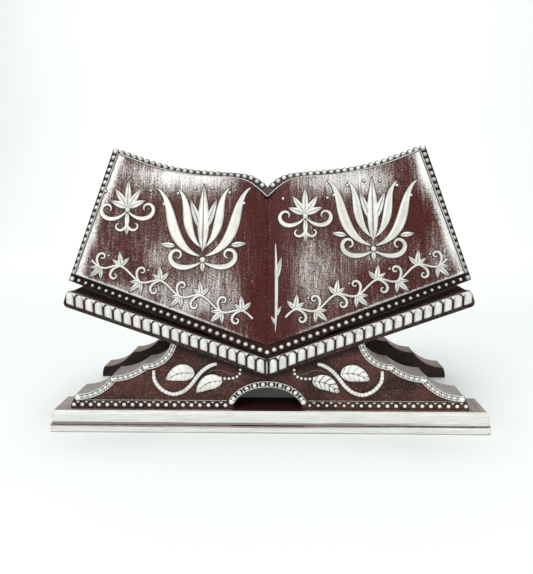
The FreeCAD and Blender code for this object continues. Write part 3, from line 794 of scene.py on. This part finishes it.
def arch_band():
    """The band round the arch: a dark strip, two lips, and beads with bow ties between them."""
    relief = Relief(PANEL)
    rise = (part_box("arch_beading")[1].z - PANEL.translation.z) / MM - BAND
    strip = 0.3
    lip = 0.22
    foot = 0.31
    angles = [foot + (math.pi - 2 * foot) * s for s in shares(60)]

    def oval(grow):
        return [((ARCH_HALF + grow) * math.cos(a), (rise + grow) * math.sin(a)) for a in angles]

    def bow_tie(spot, heading):
        for way in (-1, 1):
            root = beside(spot, heading, way * 1.2)
            tip = beside(spot, heading, way * 0.1)
            line = [between(root, tip, s) for s in shares(4)]
            relief.sweep(line, lambda s: 0.5 * (1 - 0.6 * s), round_section(0.6), 5)

    middle = oval(0.5 * BAND)
    relief.sweep(middle, 0.5 * BAND - 0.05, lambda s, t: (strip, 0.1), 3)
    for grow in (lip, BAND - lip):
        relief.sweep(oval(grow), lip, round_section(0.8), 5)
    chain(relief, middle, 4.3, 1.1, 0.24, bow_tie, strip + 0.02)
    for x, z in (middle[0], middle[-1]):
        relief.dome(x, z, 1.5, 1.1, moat=0.1, base=strip + 0.02)
    relief.finish("arch_band", BAND_SILVER, "arch_beading")


def base_pearls(side, word):
    """Beads along the foot of the front panel, small points between them and a thin line above.
    On the right they are smaller near the arch."""
    relief = Relief(PANEL)
    for i in range(BASE_COUNT):
        x = BASE_START + BASE_PITCH * i
        size = 0.72 + 0.28 * smooth(34, 62, x) if side > 0 else 1.0
        relief.dome(side * x, BASE_UP, 1.05 * size, size)
        if i == BASE_COUNT - 1:
            continue
        gap = side * (x + 0.5 * BASE_PITCH)
        top = BASE_UP + 1.75
        relief.plate([(gap - 0.95, top), (gap + 0.95, top), (gap, top - 0.9)], 0.35, 0.2)
    line = [(20.6 + 76.0 * s, BASE_UP + 2.5) for s in shares(30)]
    relief.sweep(sided(side, line), 0.24, round_section(0.35, 0.3), 5)
    relief.finish(word + "base_pearls", BEAD_SILVER, word + "base_beads", slot="silver_beads")


# -------- leg panel: leaves

def segmented(height, count):
    """A round stem nicked across at even steps."""
    def section(s, t):
        lift = math.sqrt(max(0.0, 1 - t * t))
        nick = math.exp(-(((s * count) % 1.0 - 0.5) / 0.12) ** 2)
        ends = min(1.0, 0.3 + min(s, 1 - s) * 30)
        return height * lift * ends * (1 - 0.22 * nick), lift * (1 - 0.7 * nick)
    return section


def smooth_path(points, steps=10):
    """A rounded path through a few points (Catmull-Rom)."""
    path = []
    last = len(points) - 1
    for i in range(last):
        p0, p1, p2, p3 = points[max(0, i - 1)], points[i], points[i + 1], points[min(last, i + 2)]
        for t in shares(steps)[:-1]:
            path.append(tuple(0.5 * (2 * b + (c - a) * t + (2 * a - 5 * b + 4 * c - d) * t * t
                                     + (3 * b - a - 3 * c + d) * t ** 3)
                              for a, b, c, d in zip(p0, p1, p2, p3)))
    path.append(points[-1])
    return path


STEM = [(57.4, 20.6), (57.0, 15.2), (53.6, 10.6), (48.4, 8.2), (43.2, 9.4), (39.0, 12.8),
        (35.8, 17.0), (32.6, 20.6), (28.6, 23.3), (25.2, 24.4)]
UPPER_LEAF = [(36.6, 19.0), (43.9, 19.4), (51.3, 15.9)]
LOWER_LEAF = [(22.6, 15.4), (29.8, 14.3), (36.1, 9.3)]
TRAIL = [(25.6, 17.3), (21.0, 16.5), (16.4, 17.0), (13.9, 19.0), (13.5, 21.2)]
RIDGE = [(29.6, 19.6), (26.6, 20.6), (22.6, 20.2), (18.6, 18.7), (15.6, 19.4), (14.4, 21.6)]


def vine(side, word):
    """The curling stem, its two leaves, the trail of small beads and a low ridge over it. The
    veins are darker on the right."""
    stem = Relief(PANEL)
    stem.sweep(smooth_path(sided(side, STEM), 24),
               lambda s: 1.1 * min(1.0, 0.75 + 2.5 * min(s, 1 - s)), segmented(1.2, 26), 9, 0.3)
    stem.finish(word + "vine_stem", STEM_SILVER, word + "stem")
    for name, line, fat, dark_right in (("upper_leaf", UPPER_LEAF, 4.4, 0.7),
                                        ("lower_leaf", LOWER_LEAF, 3.9, 0.95)):
        blade = Relief(PANEL)
        veins = leaf_section(1.5, 6, 0.55 if side < 0 else dark_right)
        blade.sweep(smooth_path(sided(side, line), 34), leaf_half(fat), veins, 27, 0.3)
        blade.finish(word + name + "_blade", LEAF_SILVER, word + name)
    trail = Relief(PANEL)
    for x, z in evenly(smooth_path(TRAIL), 2.15):
        trail.dome(side * x, z, 0.8, 0.85, 14, 5, 0.25)
    trail.finish(word + "tendril_pearls", BEAD_SILVER, word + "tendril")
    ridge = Relief(PANEL)
    ridge.sweep(sided(side, smooth_path(RIDGE)), swell(0.5, 0.15), round_section(0.55), 7)
    ridge.finish(word + "tendril_ridge", RIDGE_STAIN_AND_PAINTED_LIGHT, slot="panel_brown")


# -------- book: outline

def cover_top(x):
    """The height of the cover's top edge."""
    return through([(0.0, 88.4), (9.0, 94.63), (24.0, 96.6), (51.5, 100.0), (COVER_TOP_X, 110.3)], abs(x))


def page_top(x):
    """The height of the page's top edge, which drops steeply into the gutter."""
    return through([(0.0, 82.0), (4.2, 86.0), (9.9, 90.3), (17.4, 92.4), (28.4, 93.2), (39.0, 94.2),
                    (58.4, 98.4), (PAGE_TOP_X, 106.4)], abs(x))


def page_point(side, s, t):
    """A point of the page: s from the gutter outwards, t from the foot to the top."""
    low = between((PAGE_GUTTER_X, PAGE_FOOT), (PAGE_EDGE_X, PAGE_CORNER_UP), s)
    top_x = PAGE_GUTTER_X + (PAGE_TOP_X - PAGE_GUTTER_X) * s
    u, v = between(low, (top_x, page_top(top_x)), t)
    return side * u, v


# Where the brush left more silver on each page, or less: centre, size and amount of soft ovals.
LEFT_PATCHES = (((34, 93), (21, 9), 0.75), ((58, 95), (14, 9), 0.35), ((56, 51), (8, 9), 0.4),
                ((30, 36), (17, 13), 0.38), ((70, 33), (30, 5), 0.4), ((47, 24), (26, 5), 0.4),
                ((12, 25), (9, 22), 0.18), ((76, 96), (14, 16), 0.22))
RIGHT_PATCHES = (((80, 95), (4.5, 14), 0.7), ((47, 91), (16, 9), 0.75), ((22, 90), (14, 7), 0.4),
                 ((22, 42), (13, 20), 0.45), ((52, 52), (20, 9), 0.2), ((88, 55), (7, 14), 0.35),
                 ((75, 74), (9, 15), -0.4), ((60, 26), (30, 4), 0.15))


def patches(ovals, u, v):
    return sum(amount * math.exp(-(((u - x) / wide) ** 2 + ((v - y) / tall) ** 2))
               for (x, y), (wide, tall), amount in ovals)


def brush_left(u, v, edge):
    """How much silver the left page has at (u, v), edge millimetres from its outer side."""
    silver = 0.2 + 0.6 * smooth(6.0, 0.8, edge) + 0.15 * smooth(15, 5, edge) * smooth(75, 40, v)
    return (silver + patches(LEFT_PATCHES, u, v)) * smooth(4, 20, u)


def brush_right(u, v, edge):
    silver = 0.2 + 0.7 * smooth(5.5, 0.8, edge)
    return (silver + patches(RIGHT_PATCHES, u, v)) * smooth(3, 18, u)


def page_surface(side, word):
    """One page: a gently curved face with soft edges, closed by its walls and back."""
    relief = Relief(BOOK, page_rise)
    shade = brush_left if side < 0 else brush_right
    stops = [0.0, 0.003, 0.008] + [0.015 + 0.97 * s for s in shares(110)] + [0.992, 0.997, 1.0]
    risers = [0.0, 0.004, 0.010] + [0.02 + 0.96 * t for t in shares(84)] + [0.990, 0.996, 1.0]
    side_share, end_share = 0.9 / 100, 0.7 / 60
    brushes = []
    grid = []
    for t in risers:
        line = []
        for s in stops:
            u, v = page_point(side, s, t)
            rim = min(1.0, (1 - s) / side_share, t / end_share, (1 - t) / end_share)
            soft = 0.55 * (1 - math.sqrt(max(0.0, 1 - (1 - rim) ** 2)))
            ripple = 0.05 * noise.noise(Vector((u * 0.9, v * 0.08, side)))
            line.append(relief.point(u, v, ripple - soft, 1.0))
            foot_line = 0.7 * smooth(1.5, 0.3, t * PAGE_TALL) * (0.3 + 0.7 * smooth(4, 40, abs(u)))
            brushes.append(shade(abs(u), v, (1 - s) * PAGE_WIDE) + foot_line)
        grid.append(line)
    to_book = BOOK.inverted()

    def on_cover(point):
        local = to_book @ point
        return BOOK @ Vector((local.x, local.y, 0.02))

    brushes += [brushes[index] for index in relief.sheet(grid, on_cover)]
    piece = relief.finish(word + "page_surface", PAGE, word + "page_block", slot="page_face")
    painted = piece.data.attributes.new("brush", "FLOAT", "POINT")
    painted.data.foreach_set("value", brushes)


def page_lines(side, word):
    """A thin raised line along the outer edge and the top of a page, down into the gutter."""
    relief = Relief(BOOK)
    outer = [page_point(side, 1.0, t) for t in shares(40)]
    top = [page_point(side, 1 - s, 1.0) for s in shares(80)]
    line = [(u + side * 0.42, v) for u, v in outer] + [(u, v + 0.42) for u, v in top[1:]]
    relief.sweep(line, 0.4, lambda s, t: (2.55 * (1 - 0.12 * t * t), 0.62 - 0.3 * t * t), 5)
    relief.finish(word + "page_lines", LINE_SILVER, word + "page_frame")


# -------- book: beads

def rim_pearls(side, word):
    """Beads round the top and side of the cover, the largest on its outer corner. The left page
    has kept more silver on its side, and the right page on its top."""
    relief = Relief(BOOK)
    inset = 1.6
    pitch = 3.58
    side_shine, top_shine = (0.95, 0.84) if side < 0 else (0.72, 0.96)
    top = [((COVER_TOP_X - inset) * s, cover_top(COVER_TOP_X * s) - inset * 1.05)
           for s in reversed(shares(120))]
    low = (COVER_HALF - inset * 1.25, COVER_CORNER_UP + inset * 0.55)
    upper = evenly(top, pitch)
    outer = evenly([top[0], low], pitch)
    for u, v in upper[1:-1]:
        relief.dome(side * u, v + 0.2, 1.45, 1.4, moat=0.3, shine=top_shine)
    for u, v in outer[1:]:
        relief.dome(side * u, v, 1.36, 1.3, moat=0.22, shine=side_shine)
    relief.dome(side * upper[0][0], upper[0][1], 1.62, 1.6, moat=0.1)
    relief.finish(word + "rim_pearls", RIM_SILVER, word + "rim_beads", slot="silver_beads")


def lower_pearls(side, word):
    """Small beads along the foot of the cover, brightest and roundest near the spine."""
    relief = Relief(BOOK)
    count = 28
    for i in range(count):
        u = (i + 1) * (COVER_HALF - 1.9) / count
        size = 1.15 - 0.3 * smooth(10, 95, u)
        # Shine falls towards the outer ends, so these beads are painted darker there: painted shade, like the
        # near-black rim around them.
        relief.dome(side * u, COVER_FOOT_SLOPE * u + 2.0, 1.06 * size, 1.2 * size, moat=0.15,
                    shine=1.0 - 0.38 * smooth(25, 85, u))
    relief.finish(word + "lower_pearls", BEAD_SILVER, word + "lower_beads", slot="silver_beads")


def spine_pearl():
    relief = Relief(BOOK)
    relief.dome(0, 2.0, 1.2, 1.38, moat=0.15)
    relief.finish("spine_pearl", BEAD_SILVER, "spine_bead", slot="silver_beads")


# -------- book: carved ornament

CARVED = 0.9


def stroke(relief, path, fat, thin, peak=0.4):
    relief.sweep(path, swell(fat, thin, peak), brush_section(CARVED), 9, 0.32)


def petal(relief, root, angle, length, fat, veins=5):
    """A small leaf from a root point at an angle."""
    a = math.radians(angle)
    tip = (root[0] + math.cos(a) * length, root[1] + math.sin(a) * length)
    path = [between(root, tip, s) for s in shares(12)]
    relief.sweep(path, leaf_half(fat), leaf_section(CARVED * 1.1, veins), 11, 0.3)


def large_motif(centre, word, grow):
    """A palmette: a tall bud between two pairs of swaying petals, over a pair of scrolls."""
    relief = Relief(BOOK, page_rise)
    cx, cy = centre
    for way in (-1, 1):
        def spot(x, y):
            return cx + way * x * grow, cy + y * grow

        def sway(x, y, heading, length, bend, curl, fat, peak):
            path = scroll((cx + x * grow, cy + y * grow), heading, length * grow, bend, curl)
            stroke(relief, sided(way, path, cx), fat * grow, 0.35, peak)

        sway(1.2, -17.5, 14, 49, 150, -128, 2.9, 0.45)
        sway(1.2, -12.5, 42, 37, 105, -105, 2.5, 0.45)
        sway(0.8, -21.0, -28, 34, 70, 330, 1.5, 0.35)
        petal(relief, spot(1.0, -3), turned(way, 70), 19 * grow, 2.0 * grow, 6)
        petal(relief, spot(15.5, -11.5), turned(way, 8), 8.5 * grow, 1.5 * grow, 4)
        for x, y, size in ((14.5, 18.5, 0.85), (22.5, 12.5, 0.8), (4.8, 21.3, 0.75)):
            relief.dome(*spot(x, y), size, CARVED)
    petal(relief, (cx, cy - 15 * grow), 90, 39 * grow, 3.3 * grow, 11)
    relief.dome(cx, cy - 19.5 * grow, 1.7 * grow, CARVED * 1.2)
    petal(relief, (cx, cy - 21 * grow), -90, 5.5 * grow, 1.3 * grow, 3)
    relief.finish(word + "palmette", MOTIF_SILVER, word + "page_motif")


def small_motif(centre, word, grow=1.0):
    """A spray of five leaves over two pairs of small scrolls."""
    relief = Relief(BOOK, page_rise)
    cx, cy = centre
    for angle, length in ((90, 15), (124, 12.5), (56, 12.5), (158, 10), (22, 10)):
        petal(relief, (cx, cy), angle, length * grow, 1.7 * grow)
    outer = scroll((cx + 0.3, cy - 2), -50, 27 * grow, 120, 250, 40)
    inner = scroll((cx + 0.3, cy - 3), -80, 17 * grow, -50, -240, 40)
    for way in (-1, 1):
        for path, fat in ((outer, 1.15), (inner, 0.85)):
            stroke(relief, sided(way, path, cx), fat, 0.28)
        relief.dome(cx + way * 12 * grow, cy + 9 * grow, 0.75, CARVED)
    relief.dome(cx, cy - 1.2, 1.4, CARVED * 1.1)
    petal(relief, (cx, cy - 8), -90, 7, 1.1, 3)
    relief.finish(word + "leaf_spray", MOTIF_SILVER, word + "page_spray")


def foot_vine(side, word, start):
    """A wavy vine along the foot of a page, with leaves in threes and rolled tendrils."""
    relief = Relief(BOOK, page_rise)
    lean = math.degrees(math.atan(PAGE_FOOT_SLOPE))
    waves, end, lift = 4, 91, 10.5

    def spot(s):
        u = start + (end - start) * s
        return u, PAGE_FOOT + PAGE_FOOT_SLOPE * u + lift + 2.2 * math.sin(2 * math.pi * waves * s)

    stem = [spot(s) for s in shares(150)]
    relief.sweep(sided(side, stem), 0.55, brush_section(CARVED, 0.01), 7, 0.3)
    for i in range(2 * waves):
        u, v = spot((i + 0.5) / (2 * waves))
        way = 1 if i % 2 == 0 else -1
        tendril = scroll((u, v), lean - way * 25, 15, -way * 100, -way * 300, 34)
        stroke(relief, sided(side, tendril), 0.75, 0.25)
        for off, length, fat in ((62, 8.0, 1.35), (112, 6.2, 1.1), (18, 6.0, 1.0)):
            petal(relief, (side * u, v), turned(side, lean + way * off), length, fat, 4)
        if way > 0:
            relief.dome(side * (u + 6.6), v + 5.6, 0.6, CARVED)
    relief.finish(word + "foot_vine", MOTIF_SILVER, word + "page_border")


def gutter_leaf():
    """A slender spear of leaves beside the gutter."""
    relief = Relief(BOOK, page_rise)
    path = [(4.2 + 0.5 * math.sin(math.pi * s), 12 + 46 * s) for s in shares(30)]
    relief.sweep(path, lambda s: 0.15 + 0.75 * math.sin(math.pi * s) ** 0.8, brush_section(CARVED), 7)
    petal(relief, (4.6, 38), 78, 13, 1.15, 4)
    petal(relief, (4.4, 20), 62, 6, 0.8, 3)
    petal(relief, (4.4, 16), 120, 5, 0.7, 3)
    relief.finish("gutter_leaf", MOTIF_SILVER, "gutter_spray")


# -------- stage, light and camera

def sweep_floor():
    """A pale floor that curves up into a wall far behind."""
    front, back, half, bend, top = -1.6, 0.9, 2.2, 0.6, 2.6
    angles = [0.5 * math.pi * s for s in shares(16)]
    curve = [(back + bend * math.sin(a), bend - bend * math.cos(a)) for a in angles]
    profile = [(front, 0.0)] + curve + [(back + bend, top)]
    points = [(x, y, z) for y, z in profile for x in (-half, half)]
    faces = [(2 * i, 2 * i + 1, 2 * i + 3, 2 * i + 2) for i in range(len(profile) - 1)]
    mesh = bpy.data.meshes.new("floor")
    mesh.from_pydata(points, [], faces)
    mesh.shade_smooth()
    mesh.materials.append(floor_paint())
    floor = add_object("floor", mesh)


def soft_light(name, place, target, size, watts):
    data = bpy.data.lights.new(name, "AREA")
    data.shape = "RECTANGLE"
    data.size, data.size_y = size
    data.energy = watts
    lamp = add_object(name, data)
    lamp.location = place
    lamp.rotation_euler = (Vector(target) - Vector(place)).to_track_quat("-Z", "Y").to_euler()


def studio():
    world = bpy.data.worlds.new("studio")
    world.use_nodes = True
    background = world.node_tree.nodes["Background"]
    background.inputs["Color"].default_value = (0.95, 0.985, 0.97, 1)
    background.inputs["Strength"].default_value = 0.5
    bpy.context.scene.world = world
    soft_light("key_light", (-0.35, -0.85, 0.95), (0, 0, 0.06), (0.6, 0.5), 6.6)
    soft_light("fill_light", (0.75, -0.65, 0.5), (0, 0, 0.06), (0.7, 0.7), 1.5)
    soft_light("top_light", (0.0, 0.1, 1.3), (0, 0.05, 0.05), (1.2, 1.2), 8.5)
    soft_light("wall_light", (0.0, 0.6, 0.9), (0, 1.5, 0.5), (2.0, 0.8), 8.0)


def camera():
    """The camera at the viewing angle of the reference: slightly above, turned a little left."""
    right = Vector((0.999325, 0.035778, -0.008394))
    up = Vector((0.002154, 0.170997, 0.985269))
    forward = Vector((-0.036686, 0.984622, -0.170804))
    data = bpy.data.cameras.new("camera")
    data.sensor_width = 36.0
    data.lens = 34.49
    data.clip_start = 0.01
    eye = add_object("camera", data)
    turn = Matrix((right, up, -forward)).transposed()
    eye.matrix_world = Matrix.Translation((0.0099, -0.3117, 0.1205)) @ turn.to_4x4()
    bpy.context.scene.camera = eye


# -------- the whole

bpy.context.scene.view_settings.view_transform = "Standard"
camera()
studio()
sweep_floor()

TOOTH_SILVER = silver_paint("tooth_silver", 0.24)
BAND_SILVER = silver_paint("band_silver", 0.3, rgb(250, 250, 246), rgb(222, 220, 215))
BEAD_SILVER = silver_paint("bead_silver", 0.24, rgb(250, 250, 246), rgb(224, 221, 215))
RIM_SILVER = silver_paint("rim_silver", 0.34, rgb(244, 244, 240), rgb(158, 153, 147))
STEM_SILVER = silver_paint("stem_silver", 0.28, rgb(248, 247, 242), rgb(218, 215, 209))
LEAF_SILVER = silver_paint("leaf_silver", 0.3, rgb(248, 248, 243), rgb(224, 222, 216))
MOTIF_SILVER = silver_paint("motif_silver", 0.3, rgb(236, 236, 231))
LINE_SILVER = silver_paint("line_silver", 0.45, rgb(205, 203, 196))
PAGE = page_paint()
# Besides stain, these materials carry painted light and shade. The top tone on upward faces is painted light
# from above on the panels and the ridge, and painted shade on the boards and rails. The panels are darkened
# under the V boards and the boards just behind the rails, as painted shade. The rear panel's darker browns
# are painted shade.
RIDGE_STAIN_AND_PAINTED_LIGHT = resin_paint("ridge_stain_and_painted_light", UMBER, UMBER_DARK, 0.1)
FRONT_STAIN_AND_PAINTED_LIGHT = resin_paint("front_panel_stain_and_painted_light", UMBER, UMBER_DARK, 0.3, rgb(168, 160, 153), 0.9, under_board_shade=0.85)
REAR_STAIN_AND_PAINTED_LIGHT = resin_paint("rear_panel_stain_and_painted_light", rgb(66, 46, 41), rgb(38, 23, 20), 0.03, rgb(150, 134, 124),
                         under_board_shade=0.95, reach=30.0, fleck=0.12)
BOARD_STAIN_AND_PAINTED_SHADE = resin_paint("board_stain_and_painted_shade", rgb(66, 44, 39), rgb(36, 21, 18), 0.04, rgb(48, 30, 26), 0.85,
                          fleck=0.2, shade=0.9, gloss=0.06)
RAIL_STAIN_AND_PAINTED_SHADE = resin_paint("rail_stain_and_painted_shade", rgb(56, 35, 31), rgb(32, 18, 16), 0.2, rgb(46, 25, 21), 0.85)

dress("front_plinth", plinth_paint(), 0.3)
dress("front_leg_panel", FRONT_STAIN_AND_PAINTED_LIGHT, 0.45)
dress("rear_leg_panel", REAR_STAIN_AND_PAINTED_LIGHT, 0.6)
dress("book_cover", cover_paint(), 0.3)
for side, word in ((-1, "left_"), (1, "right_")):
    dress(word + "wing_board", BOARD_STAIN_AND_PAINTED_SHADE, 0.5)
    dress(word + "book_rest", BOARD_STAIN_AND_PAINTED_SHADE, 0.5)
    dress(word + "front_rail", RAIL_STAIN_AND_PAINTED_SHADE, 0.35)
    for make in (gadroon_row, scallop_band, base_pearls, vine, page_surface, page_lines, rim_pearls,
                 lower_pearls):
        make(side, word)
large_motif((-33, 67), "left_", 0.93)
large_motif((54, 71.5), "right_", 0.88)
small_motif((-73, 77), "left_")
small_motif((19.5, 72.5), "right_", 0.95)
foot_vine(-1, "left_", 7)
foot_vine(1, "right_", 9)
gutter_leaf()
arch_band()
rail_divider()
spine_pearl()
